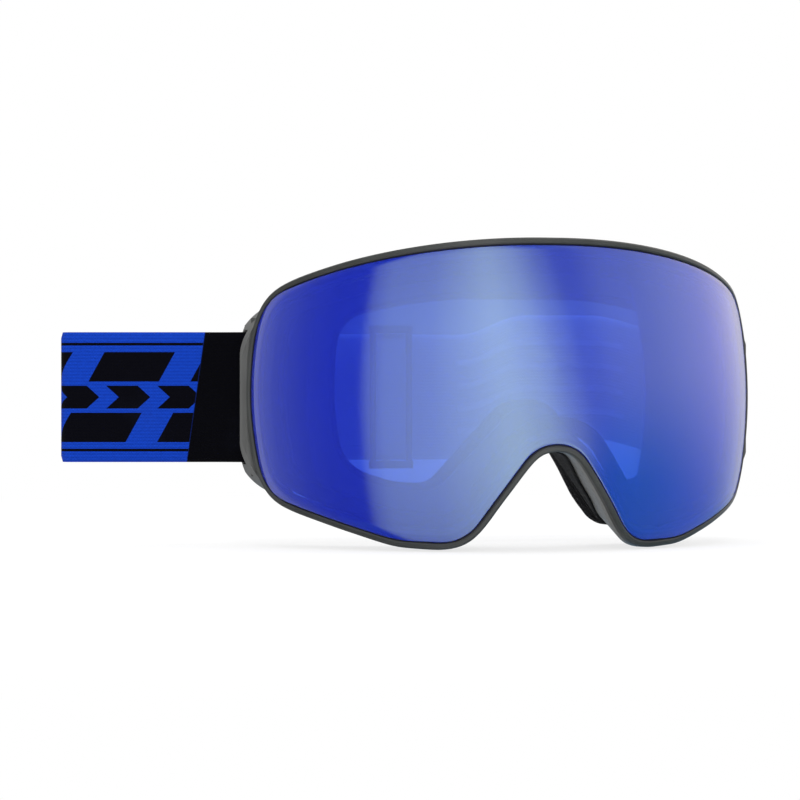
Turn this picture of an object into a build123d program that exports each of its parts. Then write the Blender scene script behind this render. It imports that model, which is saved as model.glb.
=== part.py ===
"""Ski goggles: a double lens curved both ways in a two-part frame, with layered face foam.

The origin is on the centre line, at the plane of the wearer's face and at the height of the strap.
+X is the wearer's left, which is the right of the goggles seen from the front, the lens faces -Y
and +Z is up. Outlines are drawn flat, as (s, z): s runs along the curve of the surface, across the
goggles from the centre line, and z is the height. Lengths are in millimetres.
"""

from build123d import *
import os
from math import cos, degrees, radians, sin, sqrt, tan

os.makedirs("parts", exist_ok=True)

# Lens. Its front is a barrel: curved across, and more gently up and down.
lens_radius = 93.5
lens_crown_radius = 172.7
goggle_depth = 43.5
outer_lens_thickness = 1.4
lens_gap = 3.2
inner_lens_thickness = 0.9
inner_lens_inset = 4.5
spacer_width = 4.5

# Lens outline: corners of the half outline, and how much each is rounded.
lens_top = 48.6
lens_nose_top = -14.9
lens_corners = [(51.7, lens_top), (109.3, 31.5), (113.4, 2.0), (107.7, -31.4), (54.0, -45.8),
                (30.6, -46.5), (6.75, lens_nose_top)]
lens_rounds = [335.0, 16.0, 120.0, 15.0, 50.0, 16.0, 13.0]

# Face side. The foam's outer and inner outlines lie on a curve that follows the brow and temples.
face_radius = 97.0
foam_flare = 0.2
face_top = 45.0
face_nose_top = -14.3
face_corners = [(41.0, face_top), (83.5, 28.5), (88.2, 2.0), (82.5, -28.0), (46.0, -41.8),
                (26.6, -43.0), (5.3, face_nose_top)]
face_rounds = [230.0, 14.0, 110.0, 13.0, 45.0, 14.0, 10.5]
eye_top = 32.5
eye_nose_top = -1.0
eye_corners = [(30.0, eye_top), (61.5, 26.0), (65.0, 2.0), (60.5, -22.5), (43.0, -28.3),
               (31.0, -28.6), (6.0, eye_nose_top)]
eye_rounds = [150.0, 12.0, 95.0, 14.0, 30.0, 7.0, 11.0]

# Steps between the middles of neighbouring corners, at which sections are drawn.
section_steps = (4, 5, 3, 4, 5, 3, 5, 2)

# Frame walls.
rim_gap = 0.6
rim_width = 1.9
rim_height = 0.6
wall = 1.8
ledge_depth = 1.5
ledge_width = 3.2
parting = 0.4
joint_gap = 0.1
seal_thickness = 0.4
seal_width = 2.2
seal_play = 0.2

# Face plate and the three layers of foam glued to it, from the frame towards the face.
plate_thickness = 1.6
plate_setback = 2.0
base_foam_depth = 5.0
middle_foam_depth = 4.5
fleece_depth = 2.5
fleece_crown = 1.4
foam_step = 0.5

# Vents through the upper and lower walls, and the thin foam behind them.
vent_length = 8.0
vent_width = 4.5
vent_foam_thickness = 2.5
vent_foam_start = 0.45
vent_foam_end = 0.95

# Wings, which carry the strap, and the bars and pins in them.
wing_gap = 0.2
wing_height = 66.0
wing_middle = -0.5
wing_round = 20.0
wing_inner_x = 76.0
wing_bulge = 0.8
wing_taper = 3.0
wing_cheek_reach = 4.5
wing_lip_reach = 11.0
wing_rear_y = 35.0
bar_radius = 1.5
bar_play = 0.1
bar_seat = 4.0
slot_reach = 10.0
slot_mouth_depth = 1.0
bar_x = 83.2
bar_y = 27.4
pin_radius = 1.0
pin_engagement = 1.6
pin_head_radius = 1.8
pin_head_thickness = 0.9

# Strap. It lies folded flat behind the goggles, as it is put away.
strap_width = 43.3
strap_thickness = 1.5
strap_slope = 15.0
strap_join = 7.0
strap_fold_x = -144.6
strap_fold_radius = 3.0
strap_fold_gap = 6.3
strap_bend_radius = 2.0
strap_turn_x = 93.0
strap_turn_radius = 6.0
strap_rise = 7.0
strap_rise_start = -6.0
strap_rise_top = (18.0, 42.0)
strap_rise_end = 76.0
strap_overrun = 10.0
strap_play = 0.35
slot_play = 0.7

# Adjuster on the strap's rear run: a ring, and a slider that carries the sewn end.
ring_x = -80.0
ring_pitch = 8.5
ring_bar_radius = 1.5
loop_share = 0.99
return_start = 1.0
return_level = 5.0
return_settled = 13.0
return_radius = 6.0
slider_x = -31.0
slider_travel = 16.0
slider_length = 15.0
slider_bar_radius = 1.1
rail_height = 2.6
rail_rim = 0.4
end_tab = 9.0
grip_thickness = 0.5
grip_width = 2.0
grip_pitch = 8.0
grip_count = 4
grip_overrun = 12.0

# How far the solids that only cut others reach past what they cut.
cutter_width = 3.0
cutter_overrun = 1.0
blank_overrun = 4.0
clearance_depth = 7.2
clearance_front = 1.2
band_reach = 200.0

plate_front = fleece_depth + middle_foam_depth + base_foam_depth + plate_thickness
rim_outer = rim_gap + rim_width
ledge_top = outer_lens_thickness + seal_play + seal_thickness + joint_gap
ledge_bottom = ledge_top + ledge_depth
base_rear = fleece_depth + middle_foam_depth
inner_lens_depth = outer_lens_thickness + lens_gap
lens_axis_y = lens_radius - goggle_depth
lens_axis = Axis((0, lens_axis_y, 0), (0, 0, 1))
lens_bottom = min(corner[1] for corner in lens_corners)
lens_half_turn = degrees(max(corner[0] for corner in lens_corners) / lens_radius) + blank_overrun


def lens_reach(z, depth=0.0):
    """Distance of the lens's front from its upright axis, or of a face so deep below it."""
    return lens_radius - lens_crown_radius + sqrt((lens_crown_radius - depth) ** 2 - z**2)


def lens_point(s, z, depth=0.0):
    """Point of the lens's front, or so deep below it."""
    reach = lens_reach(z, depth)
    turn = s / lens_radius
    return Vector(reach * sin(turn), lens_axis_y - reach * cos(turn), z)


def face_point(s, z, depth=0.0):
    """Point of the foam's rear face, or so far in front of it."""
    turn = s / face_radius
    flare = foam_flare * turn
    return Vector(
        face_radius * sin(turn) + depth * sin(flare),
        face_radius * (1 - cos(turn)) - depth * cos(flare),
        z,
    )


def half_outline(top, corners, rounds, nose_top):
    """Right half of an outline, from the top centre to the top of the nose arch."""
    points = [Vector(0, top), *[Vector(*corner) for corner in corners], Vector(0, nose_top)]
    tangents = []
    for i, radius in enumerate(rounds):
        turn = (points[i + 1] - points[i]).get_angle(points[i + 2] - points[i + 1])
        tangents.append(radius * tan(radians(turn / 2)))
    limited = []
    for i, radius in enumerate(rounds):
        before = tangents[i] + (tangents[i - 1] if i > 0 else 0)
        after = tangents[i] + (tangents[i + 1] if i < len(rounds) - 1 else 0)
        room_before = (points[i + 1] - points[i]).length / before
        room_after = (points[i + 2] - points[i + 1]).length / after
        limited.append(radius * min(1.0, 0.98 * room_before, 0.98 * room_after))
    with BuildLine() as outline:
        FilletPolyline(*points, radius=limited)
    return outline.wire()


def stations(outline):
    """Points and outward directions, in equal steps between the middles of the corners."""
    marks = [0.0]
    run = 0.0
    for edge in outline.edges():
        if edge.geom_type == GeomType.CIRCLE:
            marks.append(run + edge.length / 2)
        run += edge.length
    marks.append(run)
    places = []
    for start, end, steps in zip(marks, marks[1:], section_steps):
        places += [start + (end - start) * i / steps for i in range(steps)]
    places.append(run)
    found = []
    for place in places:
        point = outline.position_at(place, position_mode=PositionMode.LENGTH)
        heading = outline.tangent_at(place, position_mode=PositionMode.LENGTH)
        found.append((point.X, point.Y, -heading.Y, heading.X))
    return found


lens_stations = stations(half_outline(lens_top, lens_corners, lens_rounds, lens_nose_top))
face_stations = stations(half_outline(face_top, face_corners, face_rounds, face_nose_top))
eye_stations = stations(half_outline(eye_top, eye_corners, eye_rounds, eye_nose_top))
all_stations = range(len(lens_stations))


def by_lens(i, out, depth):
    """Point at station i, so far outside the lens's outline and so deep below its front."""
    s, z, ds, dz = lens_stations[i]
    return lens_point(s + out * ds, z + out * dz, depth)


def by_face(i, inward, depth):
    """Point at station i, so far inside the foam's outer outline."""
    s, z, ds, dz = face_stations[i]
    return face_point(s - inward * ds, z - inward * dz, depth)


def by_eye(i, outward, depth):
    """Point at station i, so far outside the foam's inner outline."""
    s, z, ds, dz = eye_stations[i]
    return face_point(s + outward * ds, z + outward * dz, depth)


def by_wall(i, inward, way, gap=0.0):
    """Point of the frame's wall: so far inside its outer face, and from 0 at the rim to 1."""
    start = by_lens(i, rim_outer - inward, ledge_bottom)
    end = by_face(i, inward, plate_front + joint_gap)
    return start + (end - start) * way + (end - start).normalized() * gap


top_corner = section_steps[0]
side_corner = sum(section_steps[:3])
low_corner = side_corner + section_steps[3]
outer_lobe = low_corner + section_steps[4]
top_vent_stations = range(0, top_corner + 1)
low_vent_stations = range(low_corner + 1, outer_lobe)
vent_stations = [*top_vent_stations, *low_vent_stations]
vent_way = (1 + parting) / 2
vent_cut = 3 * wall


def vent_plane(i):
    """Level plane in the middle of the wall's rear part, turned along the wall."""
    middle = by_wall(i, wall / 2, vent_way)
    ahead = by_wall(i + 1, wall / 2, vent_way) - middle
    return Plane(origin=middle, x_dir=(ahead.X, ahead.Y, 0), z_dir=(0, 0, 1))


def pin_plane(i):
    """Plane on the wall's outer face beside the wing, looking outwards."""
    along = by_wall(i, 0, 1) - by_wall(i, 0, 0)
    down = by_wall(i + 1, 0, vent_way) - by_wall(i - 1, 0, vent_way)
    return Plane(origin=by_wall(i, 0, vent_way), x_dir=down, z_dir=down.cross(along))


pin_planes = [pin_plane(side_corner - 1), pin_plane(side_corner + 2)]

side_rim = by_lens(side_corner, rim_outer + wing_gap, 0)
wing_front = (side_rim.X, side_rim.Y)
wing_cheek = (side_rim.X + wing_bulge, side_rim.Y + wing_cheek_reach)
wing_lip = (side_rim.X, side_rim.Y + wing_lip_reach)
wing_rear = (side_rim.X - wing_taper, wing_rear_y)
low_foam_stations = range(low_corner + 1, outer_lobe + 1)
bar_left = Vector(bar_x, bar_y)
bar_right = Vector(-bar_x, bar_y)
bar_height = strap_width + 2 * (slot_play + bar_seat)
slot_height = strap_width + 2 * slot_play
slot_radius = bar_radius + bar_play + strap_thickness + strap_play
outwards_left = Vector(cos(radians(strap_slope)), sin(radians(strap_slope)))
outwards_right = Vector(-outwards_left.X, outwards_left.Y)
slot_side = Vector(-outwards_left.Y, outwards_left.X) * (strap_thickness / 2 + slot_play)
slot_end = bar_left + outwards_left * slot_reach
slot_inner = slot_end - outwards_left * slot_mouth_depth
slot_mouth = [slot_end + slot_side, slot_end - slot_side, slot_inner - slot_side,
              slot_inner + slot_side]
spacer_gap = joint_gap / 2


def fold_y(x):
    """Where the strap's line from the bar meets an upright line across the goggles."""
    return bar_y + (abs(x) - bar_x) * tan(radians(strap_slope))


run_y = fold_y(strap_fold_x) + strap_fold_gap
ring_loop = ring_bar_radius + bar_play + strap_thickness / 2
ring_left = Vector(ring_x, run_y + ring_loop)
ring_right = Vector(ring_x + ring_pitch, run_y + ring_loop)
front_points = [
    bar_right + outwards_right * strap_join,
    Vector(strap_fold_x, fold_y(strap_fold_x)),
    Vector(strap_fold_x, run_y),
    Vector(ring_x - strap_join, run_y),
]
front_radii = [strap_fold_radius] * 2
rear_points = [
    bar_left + outwards_left * strap_join,
    Vector(strap_turn_x, fold_y(strap_turn_x)),
    Vector(strap_turn_x, run_y),
    Vector(ring_right.X - ring_loop, run_y),
    Vector(ring_right.X - ring_loop, run_y + 2 * ring_loop),
    Vector(ring_right.X + return_start, run_y + 2 * ring_loop),
]
rear_radii = [strap_bend_radius, strap_turn_radius, loop_share * ring_loop, loop_share * ring_loop]
slider_loop = slider_bar_radius + bar_play + strap_thickness / 2
return_y = run_y + strap_thickness + strap_play
slider_middle = Vector(slider_x, return_y + slider_loop)
front_bar_y = run_y - strap_thickness / 2 - strap_play - slider_bar_radius
front_bar_reach = slider_length / 2 - slider_bar_radius
slider_fronts = [Vector(slider_x + side * front_bar_reach, front_bar_y) for side in (-1, 1)]
rail_start = strap_width / 2 + strap_play
end_left = slider_x - slider_loop - end_tab
return_points = [
    Vector(ring_right.X + return_start + joint_gap, run_y + 2 * ring_loop),
    Vector(ring_right.X + return_level, run_y + 2 * ring_loop),
    Vector(ring_right.X + return_settled, return_y),
    Vector(end_left - joint_gap, return_y),
]
return_radii = [return_radius] * 2
end_corners = [
    (end_left, return_y - strap_thickness / 2),
    (slider_x, return_y - strap_thickness / 2),
    (slider_x, return_y + strap_thickness / 2),
    (end_left, return_y + strap_thickness / 2),
]
grip_start = slider_x + slider_travel + slider_length / 2 + strap_play
grip_end = strap_rise_top[1] + grip_overrun


def section(corners, plane=None, crown=None):
    """Flat section through its corners; with a crown, its last side is an arc through that point."""
    if plane is None:
        middle = sum(corners, Vector()) / len(corners)
        normal = Vector()
        for corner, following in zip(corners, corners[1:] + corners[:1]):
            normal += (corner - middle).cross(following - middle)
        plane = Plane(origin=middle, x_dir=corners[1] - corners[0], z_dir=normal)
    flat = [plane.to_local_coords(corner) for corner in corners]
    flat = [(point.X, point.Y) for point in flat]
    with BuildSketch(plane) as sketch:
        with BuildLine():
            if crown is None:
                Polyline(*flat, close=True)
            else:
                middle = plane.to_local_coords(crown)
                Polyline(*flat)
                ThreePointArc(flat[-1], (middle.X, middle.Y), flat[0])
        make_face()
    return sketch.sketch


def wall_plane(i):
    """Plane of the frame's sections at station i, so that its two parts meet along one line."""
    outwards = by_lens(i, rim_outer, 0) - by_lens(i, 0, 0)
    rearwards = by_wall(i, 0, 1) - by_wall(i, 0, 0)
    seat = by_lens(i, rim_gap, ledge_top / 2)
    return Plane(origin=seat, x_dir=outwards, z_dir=outwards.cross(rearwards))


def outer_frame_section(i):
    """Rim with its bead, the ledge that the lens sits on, and the front part of the wall."""
    return section(
        [
            by_lens(i, -ledge_width, ledge_top),
            by_lens(i, rim_gap, ledge_top),
            by_lens(i, rim_gap, -rim_height / 3),
            by_lens(i, rim_gap + rim_width / 4, -rim_height),
            by_lens(i, rim_outer - rim_width / 4, -rim_height),
            by_lens(i, rim_outer, 0),
            by_wall(i, 0, 0),
            by_wall(i, 0, parting),
            by_wall(i, wall, parting),
            by_wall(i, wall, 0),
            by_lens(i, -ledge_width, ledge_bottom),
        ],
        plane=wall_plane(i),
    )


def wall_strip_section(i, inward, thickness, start, end, gap=0.0):
    """Strip along the wall, between two shares of the way from the rim to the face plate."""
    return section(
        [
            by_wall(i, inward, start, gap),
            by_wall(i, inward, end),
            by_wall(i, inward + thickness, end),
            by_wall(i, inward + thickness, start, gap),
        ],
        plane=wall_plane(i),
    )


def lens_band_section(i, inner, outer, top, bottom):
    """Band that follows the lens's outline, between two offsets from it and two depths."""
    return section(
        [
            by_lens(i, inner, top),
            by_lens(i, outer, top),
            by_lens(i, outer, bottom),
            by_lens(i, inner, bottom),
        ]
    )


def lens_seal_section(i):
    """Seal: an edge beside the lens and a lip under it."""
    return section(
        [
            by_lens(i, seal_play, 0),
            by_lens(i, rim_gap - joint_gap, 0),
            by_lens(i, rim_gap - joint_gap, ledge_top - joint_gap),
            by_lens(i, -seal_width, ledge_top - joint_gap),
            by_lens(i, -seal_width, outer_lens_thickness + seal_play),
            by_lens(i, seal_play, outer_lens_thickness + seal_play),
        ],
        plane=wall_plane(i),
    )


def foam_section(i, outer_inset, inner_inset, front, rear, crown=0.0):
    """Layer of the face seal between two depths; a crowned layer is round towards the face."""
    corners = [
        by_face(i, outer_inset, rear + crown),
        by_face(i, outer_inset, front),
        by_eye(i, inner_inset, front),
        by_eye(i, inner_inset, rear + crown),
    ]
    if crown == 0.0:
        return section(corners)
    middle = (by_face(i, 0, rear) + by_eye(i, 0, rear)) / 2
    return section(corners, crown=middle)


def lens_profile(depth, thickness):
    """Upright section of a lens, wide enough to cut the lens's outline out of what it sweeps."""
    plane = Plane(
        origin=(0, lens_axis_y, 0),
        x_dir=(-sin(radians(lens_half_turn)), -cos(radians(lens_half_turn)), 0),
        z_dir=(-cos(radians(lens_half_turn)), sin(radians(lens_half_turn)), 0),
    )
    height = max(lens_top, -lens_bottom) + cutter_width + cutter_overrun
    front = [(lens_reach(z, depth), z) for z in (-height, 0, height)]
    back = [(lens_reach(z, depth + thickness), z) for z in (height, 0, -height)]
    with BuildSketch(plane) as sketch:
        with BuildLine():
            ThreePointArc(*front)
            Line(front[-1], back[0])
            ThreePointArc(*back)
            Line(back[-1], front[0])
        make_face()
    return sketch.sketch


def lens_cutter(inset, depth, thickness):
    """Right half of the ring that frees a lens from its blank."""
    top = depth - cutter_overrun
    bottom = depth + thickness + cutter_overrun
    return [lens_band_section(i, -inset, cutter_width - inset, top, bottom) for i in all_stations]


def wing_clearance_section(i):
    """Space that the frame takes beside a wing, with the gap around it."""
    return section(
        [
            by_lens(i, rim_outer + wing_gap, -clearance_front),
            by_lens(i, rim_outer + wing_gap, 0),
            by_wall(i, -wing_gap, 0),
            by_wall(i, -wing_gap, 1, wing_gap),
            by_wall(i, clearance_depth, 1, wing_gap),
            by_wall(i, clearance_depth, 0),
            by_lens(i, -clearance_depth, -clearance_front),
        ],
        plane=wall_plane(i),
    )


def loop_end(bar, radius, tip):
    """Sewn end of a strap round a bar, seen from above, that narrows to one thickness at its tip."""
    along = (tip - bar).normalized()
    side = Vector(-along.Y, along.X, 0) * strap_thickness / 2
    with BuildSketch() as outline:
        with Locations(bar):
            Circle(radius + bar_play + strap_thickness)
        with BuildLine():
            Polyline(tip + side, tip - side, tip - side - along, tip + side - along, close=True)
        make_face()
        make_hull()
        with Locations(bar):
            Circle(radius + bar_play, mode=Mode.SUBTRACT)
    return outline.sketch


def rise_line(offset):
    """Line along the strap's rear run: level, up over the nose opening, and level again."""
    return [
        Line((strap_fold_x - strap_overrun, offset), (strap_rise_start, offset)),
        Spline(
            (strap_rise_start, offset),
            (strap_rise_top[0], offset + strap_rise),
            tangents=((1, 0), (1, 0)),
        ),
        Line((strap_rise_top[0], offset + strap_rise), (strap_rise_top[1], offset + strap_rise)),
        Spline(
            (strap_rise_top[1], offset + strap_rise),
            (strap_rise_end, offset),
            tangents=((1, 0), (1, 0)),
        ),
        Line((strap_rise_end, offset), (strap_turn_x + strap_overrun, offset)),
    ]


def rise_band(low, high):
    """Face between two such lines, upright across the goggles."""
    with BuildSketch(Plane.XZ) as band:
        with BuildLine():
            rise_line(low)
            rise_line(high)
            Line((strap_fold_x - strap_overrun, low), (strap_fold_x - strap_overrun, high))
            Line((strap_turn_x + strap_overrun, low), (strap_turn_x + strap_overrun, high))
        make_face()
    return band.sketch


# Outer frame: the rim with its bead, the ledge under the lens and the front part of the wall.
with BuildPart() as outer_frame:
    loft([outer_frame_section(i) for i in all_stations])
    mirror(about=Plane.YZ)
outer_frame.part.label = "outer_frame"
export_step(outer_frame.part, "parts/outer_frame.step")

# Inner frame: the rear part of the wall, with its vents and the holes for the wing pins.
with BuildPart() as inner_frame:
    loft([wall_strip_section(i, 0, wall, parting, 1, gap=joint_gap) for i in all_stations])
    for i in vent_stations:
        with BuildSketch(vent_plane(i)):
            SlotOverall(vent_length, vent_width)
        extrude(amount=vent_cut, both=True, mode=Mode.SUBTRACT)
    for plane in pin_planes:
        with BuildSketch(plane):
            Circle(pin_radius + bar_play)
        extrude(amount=2 * wall, both=True, mode=Mode.SUBTRACT)
    mirror(about=Plane.YZ)
inner_frame.part.label = "inner_frame"
export_step(inner_frame.part, "parts/inner_frame.step")

# Face plate: the flange that carries the foam.
with BuildPart() as face_plate:
    loft(
        [foam_section(i, 0, plate_setback, plate_front, plate_front - plate_thickness)
         for i in all_stations]
    )
    mirror(about=Plane.YZ)
face_plate.part.label = "face_plate"
export_step(face_plate.part, "parts/face_plate.step")

# Foam: an open base layer, a firmer middle layer and a crowned layer of fleece.
with BuildPart() as foam_base:
    loft(
        [foam_section(i, 0, 0, base_rear + base_foam_depth - joint_gap, base_rear)
         for i in all_stations]
    )
    mirror(about=Plane.YZ)
foam_base.part.label = "foam_base"
export_step(foam_base.part, "parts/foam_base.step")

with BuildPart() as foam_middle:
    loft(
        [foam_section(i, foam_step, foam_step, base_rear - joint_gap, fleece_depth)
         for i in all_stations]
    )
    mirror(about=Plane.YZ)
foam_middle.part.label = "foam_middle"
export_step(foam_middle.part, "parts/foam_middle.step")

with BuildPart() as foam_fleece:
    loft(
        [foam_section(i, foam_step, foam_step, fleece_depth - joint_gap, 0, crown=fleece_crown)
         for i in all_stations]
    )
    mirror(about=Plane.YZ)
foam_fleece.part.label = "foam_fleece"
export_step(foam_fleece.part, "parts/foam_fleece.step")

# Outer lens, cut from a barrel-shaped blank.
with BuildPart() as outer_blank:
    revolve(lens_profile(0, outer_lens_thickness), lens_axis, 2 * lens_half_turn)
with BuildPart() as outer_cutter:
    loft(lens_cutter(0, 0, outer_lens_thickness))
    mirror(about=Plane.YZ)
with BuildPart() as outer_lens:
    add((outer_blank.part - outer_cutter.part).solids().sort_by(SortBy.VOLUME)[-1])
outer_lens.part.label = "outer_lens"
export_step(outer_lens.part, "parts/outer_lens.step")

# Inner lens, smaller all round, behind the spacer.
with BuildPart() as inner_blank:
    revolve(lens_profile(inner_lens_depth, inner_lens_thickness), lens_axis, 2 * lens_half_turn)
with BuildPart() as inner_cutter:
    loft(lens_cutter(inner_lens_inset, inner_lens_depth, inner_lens_thickness))
    mirror(about=Plane.YZ)
with BuildPart() as inner_lens:
    add((inner_blank.part - inner_cutter.part).solids().sort_by(SortBy.VOLUME)[-1])
inner_lens.part.label = "inner_lens"
export_step(inner_lens.part, "parts/inner_lens.step")

# Seal between the lens's edge and the frame: the thin dark line round the lens.
with BuildPart() as lens_seal:
    loft([lens_seal_section(i) for i in all_stations])
    mirror(about=Plane.YZ)
lens_seal.part.label = "lens_seal"
export_step(lens_seal.part, "parts/lens_seal.step")

# Foam spacer that holds the two lenses apart.
with BuildPart() as lens_spacer:
    loft(
        [lens_band_section(i, -inner_lens_inset - spacer_width, -inner_lens_inset,
                           outer_lens_thickness + spacer_gap, inner_lens_depth - spacer_gap)
         for i in all_stations]
    )
    mirror(about=Plane.YZ)
lens_spacer.part.label = "lens_spacer"
export_step(lens_spacer.part, "parts/lens_spacer.step")

# Thin foam inside the vents.
with BuildPart() as top_vent_foam:
    loft(
        [wall_strip_section(i, wall + joint_gap, vent_foam_thickness, vent_foam_start, vent_foam_end)
         for i in top_vent_stations]
    )
    mirror(about=Plane.YZ)
top_vent_foam.part.label = "top_vent_foam"
export_step(top_vent_foam.part, "parts/top_vent_foam.step")

with BuildPart() as low_vent_foam_left:
    loft(
        [wall_strip_section(i, wall + joint_gap, vent_foam_thickness, vent_foam_start, vent_foam_end)
         for i in low_foam_stations]
    )
low_vent_foam_left.part.label = "low_vent_foam_left"
export_step(low_vent_foam_left.part, "parts/low_vent_foam_left.step")

with BuildPart() as low_vent_foam_right:
    mirror(low_vent_foam_left.part, about=Plane.YZ)
low_vent_foam_right.part.label = "low_vent_foam_right"
export_step(low_vent_foam_right.part, "parts/low_vent_foam_right.step")

# Wings: blocks behind the rim, hollow where the strap goes round its bar.
with BuildPart() as wing_clearance:
    loft([wing_clearance_section(i) for i in all_stations])
    loft(
        [foam_section(i, -wing_gap, plate_setback, plate_front + wing_gap, -wing_gap)
         for i in all_stations]
    )

with BuildPart() as wing_left:
    with BuildSketch(Plane.XY.offset(-wing_height)):
        with BuildLine():
            ThreePointArc(wing_front, wing_cheek, wing_lip)
            Polyline(wing_lip, wing_rear, (wing_inner_x, wing_rear[1]),
                     (wing_inner_x, wing_front[1]), wing_front)
        make_face()
    extrude(amount=2 * wing_height)
    with BuildSketch(Plane.XZ):
        with Locations((wing_cheek[0] - wing_height / 2, wing_middle)):
            RectangleRounded(wing_height, wing_height, wing_round)
    extrude(amount=lens_radius, both=True, mode=Mode.INTERSECT)
    add(wing_clearance.part, mode=Mode.SUBTRACT)
    with BuildSketch(Plane.XY.offset(-slot_height / 2)):
        with Locations(bar_left):
            Circle(slot_radius)
        with BuildLine():
            Polyline(*slot_mouth, close=True)
        make_face()
        make_hull()
    extrude(amount=slot_height, mode=Mode.SUBTRACT)
    with BuildSketch(Plane.XY.offset(-bar_height / 2)):
        with Locations(bar_left):
            Circle(bar_radius)
    extrude(amount=bar_height, mode=Mode.SUBTRACT)
    for plane in pin_planes:
        with BuildSketch(plane.offset(wing_gap / 2)):
            Circle(pin_radius)
        extrude(amount=pin_engagement + wing_gap, mode=Mode.SUBTRACT)
wing_left.part.label = "wing_left"
export_step(wing_left.part, "parts/wing_left.step")

with BuildPart() as wing_right:
    mirror(wing_left.part, about=Plane.YZ)
wing_right.part.label = "wing_right"
export_step(wing_right.part, "parts/wing_right.step")

# Strap bars, seated in the wings above and below the slot.
with BuildPart() as strap_bar_left:
    with Locations(bar_left):
        Cylinder(bar_radius, bar_height)
strap_bar_left.part.label = "strap_bar_left"
export_step(strap_bar_left.part, "parts/strap_bar_left.step")

with BuildPart() as strap_bar_right:
    mirror(strap_bar_left.part, about=Plane.YZ)
strap_bar_right.part.label = "strap_bar_right"
export_step(strap_bar_right.part, "parts/strap_bar_right.step")

# Pins that hold the wings to the frame, with their heads inside the wall.
with BuildPart() as wing_pins:
    for plane in pin_planes:
        with BuildSketch(plane.offset(-wall - joint_gap)):
            Circle(pin_head_radius)
        extrude(amount=-pin_head_thickness)
        with BuildSketch(plane.offset(-wall - joint_gap)):
            Circle(pin_radius)
        extrude(amount=wall + joint_gap + wing_gap / 2 + pin_engagement + wing_gap)
    mirror(about=Plane.YZ)
wing_pins.part.label = "wing_pins"
export_step(wing_pins.part, "parts/wing_pins.step")

# Strap, first part: from the bar at -X to the fold, and back to the ring.
with BuildPart() as strap_front:
    with BuildSketch(Plane.XY.offset(-strap_width / 2)):
        with BuildLine() as front_route:
            FilletPolyline(*front_points, radius=front_radii)
        trace(line_width=strap_thickness)
        add(loop_end(bar_right, bar_radius, front_points[0]))
        add(loop_end(ring_left, ring_bar_radius, front_points[-1]))
    extrude(amount=strap_width)
strap_front.part.label = "strap_front"
export_step(strap_front.part, "parts/strap_front.step")

# Strap, second part: from the bar at +X, behind the goggles, round the ring and back.
with BuildPart() as strap_rear:
    with BuildSketch(Plane.XY.offset(-strap_width)):
        with BuildLine() as rear_route:
            FilletPolyline(*rear_points, radius=rear_radii)
        trace(line_width=strap_thickness)
        add(loop_end(bar_left, bar_radius, rear_points[0]))
    extrude(amount=2 * strap_width)
    extrude(rise_band(-strap_width / 2, strap_width / 2), amount=band_reach, both=True,
            mode=Mode.INTERSECT)
strap_rear.part.label = "strap_rear"
export_step(strap_rear.part, "parts/strap_rear.step")

# The strap's doubled length, from the ring to the slider.
with BuildPart() as strap_return:
    with BuildSketch(Plane.XY.offset(-strap_width / 2)):
        with BuildLine() as return_route:
            FilletPolyline(*return_points, radius=return_radii)
        trace(line_width=strap_thickness)
    extrude(amount=strap_width)
strap_return.part.label = "strap_return"
export_step(strap_return.part, "parts/strap_return.step")

# Sewn end of the strap round the slider's middle bar.
with BuildPart() as strap_end:
    with BuildSketch(Plane.XY.offset(-strap_width / 2)):
        with Locations(slider_middle):
            Circle(slider_bar_radius + bar_play + strap_thickness)
        with BuildLine():
            Polyline(*end_corners, close=True)
        make_face()
        with Locations(slider_middle):
            Circle(slider_bar_radius + bar_play, mode=Mode.SUBTRACT)
    extrude(amount=strap_width)
strap_end.part.label = "strap_end"
export_step(strap_end.part, "parts/strap_end.step")

# Slider: two bars in front of the strap and one behind it, joined past the strap's edges.
with BuildPart() as slider:
    with BuildSketch(Plane.XY.offset(-rail_start)):
        with Locations(slider_middle, *slider_fronts):
            Circle(slider_bar_radius)
    extrude(amount=2 * rail_start)
    for level, amount in ((rail_start, rail_height), (-rail_start, -rail_height)):
        with BuildSketch(Plane.XY.offset(level)):
            with Locations(slider_middle, *slider_fronts):
                Circle(slider_bar_radius + rail_rim)
            make_hull()
        extrude(amount=amount)
slider.part.label = "slider"
export_step(slider.part, "parts/slider.step")

# Ring that joins the strap's two parts.
with BuildPart() as ring:
    with BuildSketch(Plane.XY.offset(-rail_start)):
        with Locations(ring_left, ring_right):
            Circle(ring_bar_radius)
    extrude(amount=2 * rail_start)
    for level, amount in ((rail_start, rail_height), (-rail_start, -rail_height)):
        with BuildSketch(Plane.XY.offset(level)):
            with Locations(ring_left, ring_right):
                Circle(ring_bar_radius)
            make_hull()
        extrude(amount=amount)
ring.part.label = "ring"
export_step(ring.part, "parts/ring.step")

# Grip lines on the side of the strap that lies against the head.
with BuildPart() as grip_lines:
    for k in range(grip_count):
        height = (k - (grip_count - 1) / 2) * grip_pitch
        extrude(rise_band(height - grip_width / 2, height + grip_width / 2), amount=band_reach, both=True)
    with BuildSketch(Plane.XY.offset(-strap_width)):
        with Locations(((grip_start + grip_end) / 2, run_y - (strap_thickness + grip_thickness) / 2)):
            Rectangle(grip_end - grip_start, grip_thickness)
    extrude(amount=2 * strap_width, mode=Mode.INTERSECT)
grip_lines.part.label = "grip_lines"
export_step(grip_lines.part, "parts/grip_lines.step")
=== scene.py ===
"""Ski goggles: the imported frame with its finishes, and its foam, straps and stitching."""

import bisect
import math

import bmesh
import bpy
from mathutils import Matrix, Vector, noise


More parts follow.
